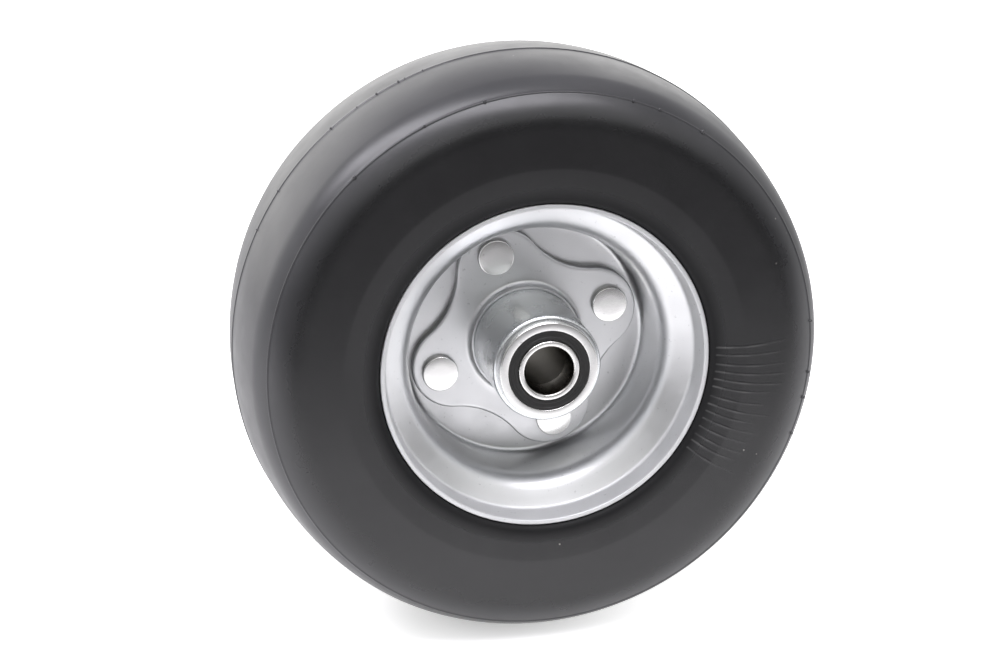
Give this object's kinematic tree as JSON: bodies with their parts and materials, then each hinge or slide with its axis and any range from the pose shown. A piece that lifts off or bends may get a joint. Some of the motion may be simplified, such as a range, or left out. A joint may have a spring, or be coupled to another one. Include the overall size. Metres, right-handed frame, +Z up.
{
  "type": "flat-free wheel",
  "caption": "Flat-free garden machine wheel: smooth solid tyre on a riveted two-piece steel rim, with a tubular hub on two sealed ball bearings for a plain axle.",
  "frame": {"origin": "wheel's centre, on the axle's axis and in the wheel's middle plane", "axes": "+Y along the axle towards the rear face, +Z up, front face looking along -Y"},
  "size_m": [0.2292, 0.0914, 0.2292],
  "materials": {
    "tyre": "smooth moulded black",
    "zinc": "bright zinc plate, satin",
    "rivet_steel": "bright flat heads",
    "ring_steel": "ground bearing steel",
    "spacer_steel": "oiled plain steel",
    "seal": "matt black",
    "ball_steel": "polished",
    "cage": "natural moulded nylon"
  },
  "bodies": {
    "axle_sleeve": {"inner_ring_front": "ring_steel", "inner_ring_rear": "ring_steel", "bearing_spacer": "spacer_steel"},
    "wheel": {"tyre": "tyre", "rim_front": "zinc", "rim_rear": "zinc", "hub_flange_front": "zinc", "hub_flange_rear": "zinc", "hub_tube": "zinc", "rivets": "rivet_steel", "outer_ring_front": "ring_steel", "outer_ring_rear": "ring_steel", "outer_seal_front": "seal", "outer_seal_rear": "seal", "inner_seal_front": "seal", "inner_seal_rear": "seal"},
    "ball_set_front": {"balls_front": "ball_steel", "cage_front": "cage"},
    "ball_set_rear": {"balls_rear": "ball_steel", "cage_rear": "cage"}
  },
  "joints": [
    {"name": "wheel_spin", "type": "hinge", "parent": "axle_sleeve", "child": "wheel", "pos_m": [0, 0, 0], "axis": [0, 1, 0], "continuous": true},
    {"name": "ball_set_spin_front", "type": "hinge", "parent": "axle_sleeve", "child": "ball_set_front", "pos_m": [0, 0, 0], "axis": [0, 1, 0], "continuous": true},
    {"name": "ball_set_spin_rear", "type": "hinge", "parent": "axle_sleeve", "child": "ball_set_rear", "pos_m": [0, 0, 0], "axis": [0, 1, 0], "continuous": true}
  ],
  "couplings": [
    {"joint": "ball_set_spin_front", "follows": "wheel_spin", "ratio": 0.58824},
    {"joint": "ball_set_spin_rear", "follows": "wheel_spin", "ratio": 0.58824}
  ]
}
